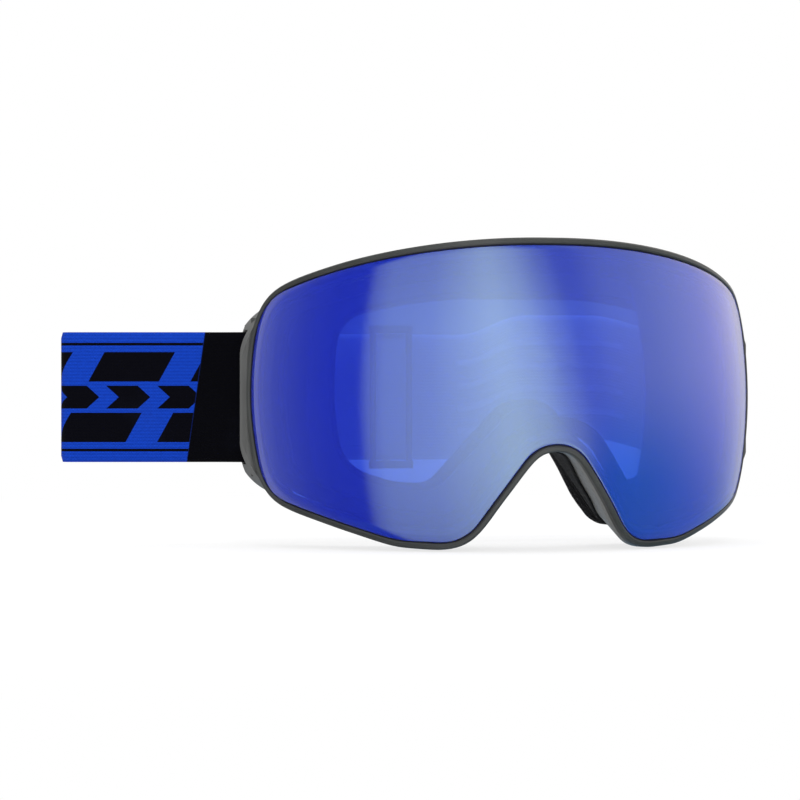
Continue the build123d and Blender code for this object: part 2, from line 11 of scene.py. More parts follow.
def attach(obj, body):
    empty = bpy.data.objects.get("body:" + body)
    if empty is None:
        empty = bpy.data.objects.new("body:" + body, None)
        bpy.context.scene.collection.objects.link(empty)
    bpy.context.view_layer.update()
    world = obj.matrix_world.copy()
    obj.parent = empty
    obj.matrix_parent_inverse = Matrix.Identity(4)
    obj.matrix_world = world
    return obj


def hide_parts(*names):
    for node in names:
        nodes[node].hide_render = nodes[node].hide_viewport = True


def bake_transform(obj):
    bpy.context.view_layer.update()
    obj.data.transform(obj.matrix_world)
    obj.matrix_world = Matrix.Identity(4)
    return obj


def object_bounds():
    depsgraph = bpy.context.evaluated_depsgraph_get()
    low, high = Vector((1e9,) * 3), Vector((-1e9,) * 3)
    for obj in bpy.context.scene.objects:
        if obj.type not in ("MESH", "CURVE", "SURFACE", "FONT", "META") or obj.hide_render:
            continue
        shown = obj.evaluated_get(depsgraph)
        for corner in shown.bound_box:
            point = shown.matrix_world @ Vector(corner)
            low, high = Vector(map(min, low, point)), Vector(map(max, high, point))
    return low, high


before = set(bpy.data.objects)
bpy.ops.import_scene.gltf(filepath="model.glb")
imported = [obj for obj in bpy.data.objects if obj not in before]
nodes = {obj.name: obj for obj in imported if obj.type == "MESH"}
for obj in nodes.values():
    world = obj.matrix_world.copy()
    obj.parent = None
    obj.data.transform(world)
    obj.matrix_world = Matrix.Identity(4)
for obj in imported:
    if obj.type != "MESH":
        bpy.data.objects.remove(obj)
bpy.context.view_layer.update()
scene = bpy.context.scene

MM = 0.001

# ---- Sizes that the CAD source has too, in millimetres ----
# Lenses: outlines as corners (length along the curve, height) and the radii of their roundings,
# from the top centre to the nose.
LENS_RADIUS, LENS_CROWN_RADIUS, GOGGLE_DEPTH = 93.5, 172.7, 43.5
LENS_THICKNESS, LENS_GAP = 1.4, 3.2
INNER_INSET, INNER_THICKNESS, SPACER_WIDTH = 4.5, 0.9, 4.5
LENS_TOP, LENS_NOSE_TOP = 48.6, -14.9
LENS_CORNERS = [(51.7, LENS_TOP), (109.3, 31.5), (113.4, 2.0), (107.7, -31.4), (54.0, -45.8),
                (30.6, -46.5), (6.75, LENS_NOSE_TOP)]
LENS_ROUNDS = [335.0, 16.0, 120.0, 15.0, 50.0, 16.0, 13.0]
LENS_AXIS_Y = LENS_RADIUS - GOGGLE_DEPTH

# Face side: the foam's outline and its eye opening, and its layers from the face forwards.
FACE_RADIUS, FOAM_FLARE = 97.0, 0.2
FACE_TOP, FACE_NOSE_TOP = 45.0, -14.3
FACE_CORNERS = [(41.0, FACE_TOP), (83.5, 28.5), (88.2, 2.0), (82.5, -28.0), (46.0, -41.8),
                (26.6, -43.0), (5.3, FACE_NOSE_TOP)]
FACE_ROUNDS = [230.0, 14.0, 110.0, 13.0, 45.0, 14.0, 10.5]
EYE_TOP, EYE_NOSE_TOP = 32.5, -1.0
EYE_CORNERS = [(30.0, EYE_TOP), (61.5, 26.0), (65.0, 2.0), (60.5, -22.5), (43.0, -28.3),
               (31.0, -28.6), (6.0, EYE_NOSE_TOP)]
EYE_ROUNDS = [150.0, 12.0, 95.0, 14.0, 30.0, 7.0, 11.0]
FLEECE_DEPTH, MIDDLE_DEPTH, BASE_DEPTH, PLATE_THICKNESS = 2.5, 4.5, 5.0, 1.6
FOAM_DEPTH = FLEECE_DEPTH + MIDDLE_DEPTH + BASE_DEPTH
PLATE_FRONT = FOAM_DEPTH + PLATE_THICKNESS

# Frame: the rim's reach past the lens, the depth where its wall starts, and the wall itself. The
# vent foam lies between two shares of the wall's way from the rim to the face plate.
RIM_OUTER, LEDGE_BOTTOM, WALL = 2.5, 3.6, 1.8
VENT_START, VENT_END = 0.45, 0.95

# Straps and their adjuster, as lines seen from above.
BAR_X, BAR_Y = 83.2, 27.4
STRAP_WIDTH, STRAP_THICKNESS, STRAP_PLAY = 43.3, 1.5, 0.35
STRAP_SLOPE = math.tan(math.radians(15.0))
FOLD_X, FOLD_RADIUS, FOLD_GAP = -144.6, 3.0, 6.3
BEND_RADIUS = 2.0
RISE, RISE_START, RISE_TOP, RISE_END = 7.0, -6.0, (18.0, 42.0), 76.0
RING_X, RING_PITCH = -80.0, 8.5
RETURN_START, RETURN_LEVEL, RETURN_SETTLED, RETURN_RADIUS = 1.0, 5.0, 13.0, 6.0
SLIDER_X, END_TAB = -31.0, 9.0
FOLD_Y = BAR_Y + (-FOLD_X - BAR_X) * STRAP_SLOPE
RUN_Y = FOLD_Y + FOLD_GAP
RETURN_Y = RUN_Y + STRAP_THICKNESS + STRAP_PLAY
# From the middle of a bar to the middle of the strap round it.
BAR_LOOP, SLIDER_LOOP = 2.35, 1.95

# ---- Sizes that only the looks have, in millimetres ----
# Stations lie along the outlines, counted from the top centre. These are the steps between the
# middles of neighbouring corners, finer than the CAD's.
SECTION_STEPS = (14, 18, 12, 14, 18, 12, 20, 8)
# How far the face foam is cut back at the nose, and the stations between which that grows.
NOSE_CUT, NOSE_CUT_STATIONS = 3.5, (93, 108)
# Foam over the nose part of the wall. It reaches forwards in two steps: by which share of the
# wall's way, and between which stations.
NOSE_FOAM_START, NOSE_FOAM_END = 87, 1.02
NOSE_FOAM_THICKNESS, NOSE_FOAM_PROUD = 0.5, 0.65
NOSE_FOAM_STEPS = ((0.46, (NOSE_FOAM_START, 97)), (0.36, (98, 110)))
LAYER_PARTING = 0.1
VENT_GAP, VENT_FOAM_THICKNESS = 0.3, 2.1
TOP_VENT_LAST, LOW_VENT_FIRST, LOW_VENT_LAST = 17, 60, 77
LENS_MIDDLE_Z, LENS_RINGS = 12.0, 26
CLOTH_THICKNESS = 1.35
FRONT_JOIN, REAR_JOIN = 9.0, 6.0
TURN_X, TURN_RADIUS = 91.3, 4.5
TURN_Y = BAR_Y + (TURN_X - BAR_X) * STRAP_SLOPE
# Seams: how far they lie from the ring's bar or the end's tip, and behind the strap's run.
RING_SEAMS, RING_SEAM_LIFT = (10.0, 14.5), 2.3
END_SEAMS, END_SEAM_LIFT = (2.6, 5.0), 2.2
STITCH_LENGTH, STITCH_PITCH, STITCH_RADIUS, STITCH_MARGIN = 2.0, 2.6, 0.28, 3.0


# ---- Camera, at the photograph's viewing angle ----
CAMERA_PLACE = Vector((-289.4, -935.2, 1.1)) * MM
CAMERA_YAW, CAMERA_PITCH = math.radians(14.90), math.radians(-0.12)
camera_data = bpy.data.cameras.new("camera")
camera_data.sensor_width = 36.0
camera_data.lens = 132.7
camera_data.clip_start, camera_data.clip_end = 0.05, 20.0
camera = bpy.data.objects.new("camera", camera_data)
scene.collection.objects.link(camera)
camera.location = CAMERA_PLACE
camera.rotation_euler = (math.pi / 2 + CAMERA_PITCH, 0, -CAMERA_YAW)
scene.camera = camera
scene.view_settings.view_transform = "Standard"


# ---- Shader maths ----

def math_node(operation, reflected=False):
    """A method that adds a Math node, with its terms the other way round where reflected."""
    def method(value, *others):
        terms = (*others, value) if reflected else (value, *others)
        return value.paint.node("ShaderNodeMath", {"operation": operation},
                                dict(enumerate(terms)))
    return method


class Value:
    """A socket in a material; arithmetic on it adds Math nodes."""

    def __init__(self, paint, socket):
        self.paint, self.socket = paint, socket

    __add__, __radd__ = math_node("ADD"), math_node("ADD", reflected=True)
    __sub__, __rsub__ = math_node("SUBTRACT"), math_node("SUBTRACT", reflected=True)
    __mul__, __rmul__ = math_node("MULTIPLY"), math_node("MULTIPLY", reflected=True)
    __truediv__ = math_node("DIVIDE")
    __lt__, __gt__ = math_node("LESS_THAN"), math_node("GREATER_THAN")
    wave, size = math_node("SINE"), math_node("ABSOLUTE")
    wrapped, raised = math_node("FLOORED_MODULO"), math_node("POWER")
    most, least = math_node("MAXIMUM"), math_node("MINIMUM")

    def smooth(self, low, high, start=0.0, end=1.0):
        """A soft step from start, where this is low, to end, where it is high."""
        return self.paint.node(
            "ShaderNodeMapRange", {"interpolation_type": "SMOOTHSTEP"},
            {"Value": self, "From Min": low, "From Max": high, "To Min": start, "To Max": end})


class Paint:
    """A material being written."""

    def __init__(self, name):
        self.start(bpy.data.materials.new(name), "ShaderNodeOutputMaterial")

    def start(self, owner, output):
        owner.use_nodes = True
        self.owner, self.tree = owner, owner.node_tree
        self.tree.nodes.clear()
        self.output = self.tree.nodes.new(output)

    def node(self, kind, settings=None, inputs=None, output=0):
        made = self.tree.nodes.new(kind)
        for name, value in (settings or {}).items():
            if name == "stops":
                ramp = made.color_ramp
                while len(ramp.elements) > 1:
                    ramp.elements.remove(ramp.elements[0])
                ramp.elements[0].position, ramp.elements[0].color = value[0]
                for position, color in value[1:]:
                    ramp.elements.new(position).color = color
            else:
                setattr(made, name, value)
        for key, value in (inputs or {}).items():
            socket = made.inputs[key]
            if isinstance(value, Value):
                self.tree.links.new(value.socket, socket)
            else:
                socket.default_value = value
        return Value(self, made.outputs[output])

    def coordinates(self, name):
        return self.node("ShaderNodeTexCoord", output=name)

    def ray(self, name):
        return self.node("ShaderNodeLightPath", output=name)

    def split(self, vector):
        parts = self.node("ShaderNodeSeparateXYZ", {}, {0: vector}).socket.node.outputs
        return [Value(self, part) for part in parts]

    def noise(self, where, scale, detail=3.0):
        return self.node("ShaderNodeTexNoise", {},
                         {"Vector": where, "Scale": scale, "Detail": detail})

    def mix(self, share, low, high, blend="MIX"):
        return self.node("ShaderNodeMix", {"data_type": "RGBA", "blend_type": blend},
                         {0: share, 6: low, 7: high}, 2)

    def bump(self, height, strength, distance):
        return self.node("ShaderNodeBump", {},
                         {"Height": height, "Strength": strength, "Distance": distance})

    def principled(self, **inputs):
        return self.node("ShaderNodeBsdfPrincipled", {},
                         {name.replace("_", " "): value for name, value in inputs.items()})

    def shader_mix(self, share, low, high):
        return self.node("ShaderNodeMixShader", {}, {0: share, 1: low, 2: high})

    def done(self, shader):
        self.tree.links.new(shader.socket, self.output.inputs["Surface"])
        return self.owner


def rgb(r, g, b):
    """Colour as it looks on screen, from 0 to 255, as a linear colour."""
    def linear(c):
        c /= 255
        return c / 12.92 if c <= 0.04045 else ((c + 0.055) / 1.055) ** 2.4
    return (linear(r), linear(g), linear(b), 1.0)


def grey(level):
    return (level, level, level, 1.0)


def paler(color, gain, lift):
    """A colour lighter than the given one, past white where that one is pale."""
    return tuple(c * gain + lift for c in color[:3]) + (1.0,)


# ---- Materials ----
WHITE = grey(1.0)
WALL_GREY, WING_GREY = rgb(108, 109, 108), rgb(73, 74, 73)
BLUE, BLACK, NIGHT = rgb(15, 57, 168), rgb(4, 4, 5), rgb(5, 5, 9)

# Depths behind the lens's front between which the rim's colour gives way to the wall's, and the
# height up to which the strap bars are bare steel, in metres.
RIM_COLOR_END = (0.0015, 0.0018)
BARE_STEEL = 0.0232

# The strap's weave and print, in metres; a slant, lean or slope is a length for each height.
RIB_PITCH, PICK_PITCH = 0.0011, 0.0009
PRINT_EDGE, PRINT_SLANT = 0.0004, 0.14
BLOCK_PITCH, BLOCK_LENGTH, BLOCK_LEAN, BLOCK_ROWS = 0.034, 0.0235, 0.55, (0.0052, 0.0150)
CHEVRON_PITCH, CHEVRON_LENGTH, CHEVRON_SLOPE, CHEVRON_HALF = 0.017, 0.0105, 1.1, 0.0038
PRINT_LINE = (0.0172, 0.0181)


def below_lens(paint, where):
    """Depth of a point below the outer lens's front, in metres."""
    x, y, z = paint.split(where)
    crown = (LENS_CROWN_RADIUS ** 2 * MM ** 2 - z * z).raised(0.5)
    reach = crown + (LENS_RADIUS - LENS_CROWN_RADIUS) * MM
    from_axis = y - LENS_AXIS_Y * MM
    return reach - (x * x + from_axis * from_axis).raised(0.5)


def moulded(name, color, roughness, behind=None):
    """Satin moulded plastic with a fine spark-eroded grain and slightly worn, uneven gloss.

    Behind the rim, which ends a little below the lens's front, it may have another colour.
    """
    paint = Paint(name)
    where = paint.coordinates("Object")
    fine = paint.noise(where, 2600.0, 2.0)
    broad = paint.noise(where, 60.0, 4.0)
    if behind:
        color = paint.mix(below_lens(paint, where).smooth(*RIM_COLOR_END), color, behind)
        pale = paint.mix(0.01, color, WHITE)
    else:
        pale = paler(color, 1.25, 0.004)
    return paint.done(paint.principled(
        Base_Color=paint.mix(broad.smooth(0.35, 0.7), color, pale),
        Roughness=roughness + 0.08 * broad - 0.04 * fine,
        Normal=paint.bump(fine, 0.5, 0.00004)))


def foam_material(name, color, scale):
    """Open-cell foam: pores painted darker as shade in the holes, between paler struts."""
    paint = Paint(name)
    where = paint.coordinates("Object")
    cells = paint.node("ShaderNodeTexVoronoi", {"feature": "F1"},
                       {"Vector": where, "Scale": scale})
    # Painted shade: the pores are darker than the struts around them, as the holes are in shade.
    pores = cells.smooth(0.25, 0.65)
    broad = paint.noise(where, 90.0).smooth(0.3, 0.7, 0.6, 1.0)
    return paint.done(paint.principled(
        Base_Color=paint.mix(pores * broad, color, paler(color, 2.2, 0.002)),
        Roughness=0.95, Specular_IOR_Level=0.2, Sheen_Weight=0.05, Sheen_Roughness=0.5,
        Normal=paint.bump(pores, 0.6, 0.00025)))


def fleece_material():
    """Short, dense fleece with a soft nap."""
    paint = Paint("fleece")
    where = paint.coordinates("Object")
    nap = paint.noise(where, 1500.0, 2.0)
    tufts = paint.noise(where, 420.0, 3.0)
    broad = paint.noise(where, 50.0, 2.0).smooth(0.3, 0.7, 0.7, 1.0)
    shade = (0.55 * tufts + 0.45 * nap).smooth(0.3, 0.7)
    return paint.done(paint.principled(
        Base_Color=paint.mix(shade * broad, rgb(14, 14, 16), rgb(40, 40, 44)),
        Roughness=1.0, Sheen_Weight=0.5, Sheen_Roughness=0.4,
        Normal=paint.bump(shade, 0.8, 0.0004)))


def lens_coat():
    """Blue mirror coating: a deep blue body under a pale mirror that turns lilac at its edges.

    Part of the light passes through it, tinted blue.
    """
    paint = Paint("lens_coat")
    where = paint.coordinates("Object")
    x = paint.split(where)[0]
    facing = paint.node("ShaderNodeLayerWeight", {}, {"Blend": 0.5}, "Facing")
    film = paint.noise(where, 14.0, 1.0)
    body = paint.mix((x * 5.0 + 0.5 + 0.25 * (film - 0.5)).smooth(0.0, 1.0),
                     (0.030, 0.062, 0.92, 1), (0.038, 0.078, 0.95, 1))
    base = paint.principled(Base_Color=body, Roughness=0.4, Specular_IOR_Level=0.05)
    tint = paint.mix(facing.smooth(0.05, 0.75), (0.76, 1.0, 0.42, 1), (1.0, 0.96, 0.86, 1))
    mirror = paint.principled(Base_Color=tint, Metallic=1.0, Roughness=0.07)
    coated = paint.shader_mix(facing.smooth(0.45, 0.95, 0.5, 0.75), base, mirror)
    clear = paint.node("ShaderNodeBsdfTransparent", {}, {"Color": (0.30, 0.46, 1.0, 1)})
    return paint.done(paint.shader_mix(0.54, coated, clear))


def clear_lens():
    """Thin clear inner lens."""
    paint = Paint("clear_lens")
    gloss = paint.node("ShaderNodeBsdfGlossy", {}, {"Color": WHITE, "Roughness": 0.03})
    clear = paint.node("ShaderNodeBsdfTransparent", {}, {"Color": rgb(240, 244, 246)})
    share = paint.node("ShaderNodeFresnel", {}, {"IOR": 1.5})
    return paint.done(paint.shader_mix(share, clear, gloss))


def rubber(name, color, roughness):
    """Rubber or silicone with a fine skin."""
    paint = Paint(name)
    fine = paint.noise(paint.coordinates("Object"), 1800.0, 2.0)
    return paint.done(paint.principled(
        Base_Color=paint.mix(fine, color, paler(color, 1.6, 0.001)),
        Roughness=roughness + 0.1 * fine, Normal=paint.bump(fine, 0.3, 0.00003)))


def steel():
    """Drawn steel, bare up to a height either side of the middle and in the wings' grey past it."""
    paint = Paint("steel")
    x, y, z = paint.split(paint.coordinates("Object"))
    lines = paint.noise(paint.node("ShaderNodeCombineXYZ", {}, {0: x * 20, 1: y * 20, 2: z}), 90.0)
    coated = z.size() > BARE_STEEL
    drawn = paint.mix(lines, (0.42, 0.42, 0.43, 1), grey(0.6))
    return paint.done(paint.principled(
        Base_Color=paint.mix(coated, drawn, WING_GREY), Metallic=1.0 - coated,
        Roughness=(0.25 + 0.15 * lines).most(coated * 0.5)))


def between_levels(value, levels):
    """1 where a value lies between two levels, and 0 elsewhere."""
    return (value > levels[0]) * (value < levels[1])


def strap_print(paint, along, across, ends):
    """Blue field from one length along the strap to another, with dark motifs on it.

    Two rows of leaning blocks, a row of short chevrons between them, and a line near each edge.
    """
    slanted = along - (0.5 * STRAP_WIDTH * MM - across) * PRINT_SLANT
    field = slanted.smooth(ends[0], ends[0] + PRINT_EDGE)
    field = field * (1.0 - slanted.smooth(ends[1], ends[1] + PRINT_EDGE))
    level = across.size()
    blocks = (along + across * BLOCK_LEAN).wrapped(BLOCK_PITCH) < BLOCK_LENGTH
    chevrons = (along - level * CHEVRON_SLOPE).wrapped(CHEVRON_PITCH) < CHEVRON_LENGTH
    motifs = (blocks * between_levels(level, BLOCK_ROWS)).most(chevrons * (level < CHEVRON_HALF))
    color = paint.mix(field, BLACK, BLUE)
    color = paint.mix(motifs * field, color, NIGHT)
    return paint.mix(between_levels(level, PRINT_LINE) * field, color, NIGHT)


def strap_cloth(name, printed=None, backed=False):
    """Woven elastic with ribs along it, printed between two lengths; a backed one is pale
    towards the head from where its print starts.

    The piece's UV map holds the length along the strap and the height across it, in metres.
    """
    paint = Paint(name)
    uv = paint.coordinates("UV")
    along, across, _ = paint.split(uv)
    ribs = (across * (2 * math.pi / RIB_PITCH)).wave()
    picks = (along * (2 * math.pi / PICK_PITCH)).wave()
    weave = 0.5 + 0.25 * ribs + 0.25 * ribs * picks
    fuzz = paint.noise(uv, 900.0, 3.0)
    soil = paint.noise(uv, 40.0, 4.0)
    color = strap_print(paint, along, across, printed) if printed else BLACK
    if backed:
        to_head = paint.split(paint.coordinates("Normal"))[1] < -0.4
        color = paint.mix(to_head * (along > printed[0]), color, rgb(238, 240, 245))
    # Painted shade: the weave's hollows and fuzz are darkened towards black.
    weave_shade = (weave * 0.6 + fuzz * 0.5).smooth(0.2, 0.95, 0.34, 0.0)
    color = paint.mix(weave_shade, color, (0.0, 0.0, 0.004, 1.0))
    color = paint.mix(soil.smooth(0.55, 0.8, 0.0, 0.05), color, rgb(40, 46, 70))
    return paint.done(paint.principled(
        Base_Color=color, Roughness=0.82 + 0.12 * fuzz, Specular_IOR_Level=0.06,
        Sheen_Weight=0.01, Sheen_Roughness=0.5,
        Normal=paint.bump(weave + 0.4 * fuzz, 0.5, 0.00018)))


def thread():
    """Sewing thread."""
    paint = Paint("thread")
    ply = paint.noise(paint.coordinates("Object"), 2200.0, 2.0)
    return paint.done(paint.principled(
        Base_Color=paint.mix(ply, rgb(20, 20, 24), rgb(52, 52, 58)), Roughness=0.8,
        Normal=paint.bump(ply, 0.4, 0.00008)))


rim_plastic = moulded("rim_plastic", rgb(46, 48, 47), 0.42, behind=WALL_GREY)
grey_plastic = moulded("grey_plastic", WALL_GREY, 0.5)
wing_plastic = moulded("wing_plastic", WING_GREY, 0.45)
hardware_plastic = moulded("hardware_plastic", rgb(30, 30, 32), 0.38)
open_foam = foam_material("open_foam", rgb(12, 12, 14), 1400.0)
firm_foam = foam_material("firm_foam", rgb(18, 18, 20), 2100.0)
vent_foam = foam_material("vent_foam", rgb(20, 20, 22), 900.0)
fleece = fleece_material()
black_rubber = rubber("black_rubber", rgb(10, 12, 26), 0.6)
silicone = rubber("silicone", rgb(214, 217, 224), 0.3)
steel_bar = steel()
thread_black = thread()


# ---- Outlines and surfaces ----

def rounded_line(points, rounds):
    """A half outline with its corners rounded: its points, their lengths along it, and marks at
    its start, at the middle of each rounding and at its end.
    """
    arc_steps, room_used = 16, 0.98
    turns = [(points[i + 1] - points[i]).angle(points[i + 2] - points[i + 1])
             for i in range(len(rounds))]
    tangents = [r * math.tan(t / 2) for r, t in zip(rounds, turns)]
    line, marks, lengths = [points[0]], [0.0], [0.0]

    def reach(point):
        lengths.append(lengths[-1] + (point - line[-1]).length)
        line.append(point)

    for i, radius in enumerate(rounds):
        # A rounding is made smaller where its neighbours leave too little room for it.
        before = tangents[i] + (tangents[i - 1] if i else 0)
        after = tangents[i] + (tangents[i + 1] if i < len(rounds) - 1 else 0)
        room = min((points[i + 1] - points[i]).length / before,
                   (points[i + 2] - points[i + 1]).length / after)
        radius *= min(1.0, room_used * room)
        cut = radius * math.tan(turns[i] / 2)
        into = (points[i + 1] - points[i]).normalized()
        out = (points[i + 2] - points[i + 1]).normalized()
        start = points[i + 1] - into * cut
        side = 1 if into.x * out.y - into.y * out.x > 0 else -1
        centre = start + Vector((-into.y, into.x)) * radius * side
        for k in range(arc_steps + 1):
            angle = side * turns[i] * k / arc_steps
            reach(centre + Matrix.Rotation(angle, 2) @ (start - centre))
            if k == arc_steps // 2:
                marks.append(lengths[-1])
    reach(points[-1])
    marks.append(lengths[-1])
    return line, lengths, marks


def outline(top, corners, rounds, nose_top):
    """Matched stations of a half outline: [(s, z, outward s, outward z)], as the CAD takes them."""
    heading_reach = 0.6
    points = [Vector((0, top)), *[Vector(c) for c in corners], Vector((0, nose_top))]
    line, lengths, marks = rounded_line(points, rounds)

    def at(place):
        k = min(max(bisect.bisect_right(lengths, place) - 1, 0), len(line) - 2)
        span = lengths[k + 1] - lengths[k]
        return line[k].lerp(line[k + 1], (place - lengths[k]) / span if span else 0.0)

    found = []
    places = [a + (b - a) * k / n for a, b, n in zip(marks, marks[1:], SECTION_STEPS)
              for k in range(n)] + [marks[-1]]
    for place in places:
        here = at(place)
        ahead = at(min(place + heading_reach, marks[-1])) - at(max(place - heading_reach, 0.0))
        ahead.normalize()
        found.append((here.x, here.y, -ahead.y, ahead.x))
    found[0] = (0.0, top, 0.0, 1.0)
    found[-1] = (0.0, nose_top, 0.0, -1.0)
    return found


def whole(half):
    """A closed ring of stations from a half outline."""
    return half + [(-s, z, -ds, dz) for s, z, ds, dz in reversed(half[1:-1])]


LENS_RING = whole(outline(LENS_TOP, LENS_CORNERS, LENS_ROUNDS, LENS_NOSE_TOP))
FACE_RING = whole(outline(FACE_TOP, FACE_CORNERS, FACE_ROUNDS, FACE_NOSE_TOP))
EYE_RING = whole(outline(EYE_TOP, EYE_CORNERS, EYE_ROUNDS, EYE_NOSE_TOP))
RING_COUNT = len(LENS_RING)


def lens_point(s, z, depth=0.0):
    """Point at a length along the lens's curve, a height, and a depth below its front."""
    reach = LENS_RADIUS - LENS_CROWN_RADIUS + math.sqrt((LENS_CROWN_RADIUS - depth) ** 2 - z * z)
    turn = s / LENS_RADIUS
    return Vector((reach * math.sin(turn), LENS_AXIS_Y - reach * math.cos(turn), z))


def face_point(s, z, depth=0.0):
    """Point at a length along the face's curve, a height, and a distance in front of the face."""
    turn = s / FACE_RADIUS
    flare = FOAM_FLARE * turn
    return Vector((FACE_RADIUS * math.sin(turn) + depth * math.sin(flare),
                   FACE_RADIUS * (1 - math.cos(turn)) - depth * math.cos(flare), z))


def between(i, share, depth):
    """Point across the foam at station i: 0 at its outer outline, 1 at the eye opening."""
    s, z, _, _ = FACE_RING[i]
    t, w, _, _ = EYE_RING[i]
    return face_point(s + (t - s) * share, z + (w - z) * share, depth)


def wall_point(i, inward, way):
    """Point of the frame's wall, from 0 at the rim to 1 at the face plate, as in the CAD."""
    s, z, ds, dz = LENS_RING[i]
    out = RIM_OUTER - inward
    start = lens_point(s + out * ds, z + out * dz, LEDGE_BOTTOM)
    s, z, ds, dz = FACE_RING[i]
    return start.lerp(face_point(s - inward * ds, z - inward * dz, PLATE_FRONT), way)


def nose_share(i, start, end):
    """0 away from the nose, rising to 1 between two stations counted from the top centre."""
    k = min(i, RING_COUNT - i)
    t = min(max((k - start) / (end - start), 0.0), 1.0)
    return t * t * (3 - 2 * t)


# ---- Meshes ----

def link(mesh, name):
    made = bpy.data.objects.new(name, mesh)
    scene.collection.objects.link(made)
    return made


def finish(name, mesh, work):
    """Writes a closed bmesh to its mesh, faces outwards and smooth, and makes its object."""
    bmesh.ops.recalc_face_normals(work, faces=work.faces)
    work.to_mesh(mesh)
    work.free()
    mesh.shade_smooth()
    return link(mesh, name)


def closed_mesh(name, vertices, faces):
    mesh = bpy.data.meshes.new(name)
    mesh.from_pydata(vertices, [], faces)
    work = bmesh.new()
    work.from_mesh(mesh)
    return finish(name, mesh, work)


def tube_mesh(name, sections, closed=True):
    """Tube through closed sections of points, one at each station: a ring, or a piece with ends."""
    count, around = len(sections), len(sections[0])
    vertices = [p * MM for section in sections for p in section]
    faces = []
    for i in range(count if closed else count - 1):
        here, there = i * around, (i + 1) % count * around
        for k in range(around):
            n = (k + 1) % around
            faces.append((here + k, here + n, there + n, there + k))
    if not closed:
        faces.append(tuple(range(around)))
        faces.append(tuple((count - 1) * around + k for k in reversed(range(around))))
    return closed_mesh(name, vertices, faces)


def soft_piece(made, node, material, rough, seed):
    """Finishes a piece of foam: an uneven surface, its material and what it stands for."""
    for vertex in made.data.vertices:
        p = vertex.co * 1000
        drift = noise.noise(p * 0.11 + Vector((seed, 0, 0))) + 0.5 * noise.noise(p * 0.5)
        vertex.co += vertex.normal * drift * rough * MM
    made.data.materials.append(material)
    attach(made, "root")
    if node:
        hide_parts(node)


def wall_foam(name, node, stations, inward, thickness, starts, end, material, seed):
    """Thin foam with swollen sides along the frame's wall.

    At each station it runs from its own start to the end, as shares of the way from the rim to
    the face plate.
    """
    steps, swell, rough = 8, 0.18, 0.06
    sections = []
    for i, start in zip(stations, starts):
        outer, inner = [], []
        for k in range(steps + 1):
            share = k / steps
            bulge = swell * math.sqrt(max(0.0, 1 - (2 * share - 1) ** 8))
            way = start + (end - start) * share
            outer.append(wall_point(i, inward - bulge, way))
            inner.append(wall_point(i, inward + thickness + bulge, way))
        sections.append(outer + inner[::-1])
    soft_piece(tube_mesh(name, sections, closed=False), node, material, rough, seed)


def layer_profile(round_share):
    """Closed section of a foam layer: (share across it, share from its front to its rear)."""
    flat_steps, side_steps = 14, 6
    front = [(round_share + (1 - 2 * round_share) * k / flat_steps, 0.0)
             for k in range(flat_steps + 1)]
    side = [(1 - round_share * (1 - math.sin(math.pi * k / side_steps)), k / side_steps)
            for k in range(1, side_steps)]
    return (front + side + [(1 - across, 1.0) for across, _ in front]
            + [(1 - across, 1 - height) for across, height in side])


def foam_layer(name, node, front, rear, material, bulge, crown, rough, seed):
    """One layer of the face seal: soft edges, sides that swell, and a rear face with a crown."""
    corner, widest_corner = 0.352, 0.45
    sections = []
    for i in range(RING_COUNT):
        width = (between(i, 1, rear) - between(i, 0, rear)).length
        cut_back = NOSE_CUT * nose_share(i, *NOSE_CUT_STATIONS) / width
        section = []
        for share, height in layer_profile(min(widest_corner, corner * (front - rear) / width)):
            depth = front + (rear - front) * height
            lean = (share - 0.5) * 2
            swell = bulge * 4 * height * (1 - height) * abs(lean) ** 6 / width
            spread = share + math.copysign(swell, lean)
            spread += (1 - spread) * cut_back * (1 - depth / FOAM_DEPTH)
            if height == 1:
                depth += crown * lean * lean
            section.append(between(i, spread, depth))
        sections.append(section)
    made = tube_mesh(name, sections)
    smooth = made.modifiers.new("smooth", "SUBSURF")
    smooth.levels = smooth.render_levels = 1
    soft_piece(made, node, material, rough, seed)


def lens_shell(name, node, inset, depth, thickness, material):
    """A lens as one smooth shell: rings from its middle to its edge, on both faces."""
    edge_inset, edge_drop, edge_swell = 0.12, 0.08, 0.05
    inside = [r / LENS_RINGS for r in range(1, LENS_RINGS)]
    rear = depth + thickness
    levels = ([(share, depth, 0.0) for share in inside]
              + [(1.0, depth, -edge_inset), (1.0, depth + edge_drop, 0.0),
                 (1.0, depth + thickness / 2, edge_swell), (1.0, rear, 0.0)]
              + [(share, rear, 0.0) for share in reversed(inside)])
    vertices, faces = [], []
    for share, level, out in levels:
        for s, z, ds, dz in LENS_RING:
            edge_s, edge_z = s - inset * ds, z - inset * dz
            height = LENS_MIDDLE_Z + (edge_z - LENS_MIDDLE_Z) * share + out * dz
            vertices.append(lens_point(edge_s * share + out * ds, height, level) * MM)
    for row in range(len(levels) - 1):
        for k in range(RING_COUNT):
            a, b = row * RING_COUNT + k, row * RING_COUNT + (k + 1) % RING_COUNT
            faces.append((a, b, b + RING_COUNT, a + RING_COUNT))
    for row, level in ((0, depth), (len(levels) - 1, rear)):
        tip, first = len(vertices), row * RING_COUNT
        vertices.append(lens_point(0, LENS_MIDDLE_Z, level) * MM)
        faces += [(tip, first + k, first + (k + 1) % RING_COUNT) for k in range(RING_COUNT)]
    made = closed_mesh(name, vertices, faces)
    made.data.materials.append(material)
    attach(made, "root")
    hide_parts(node)


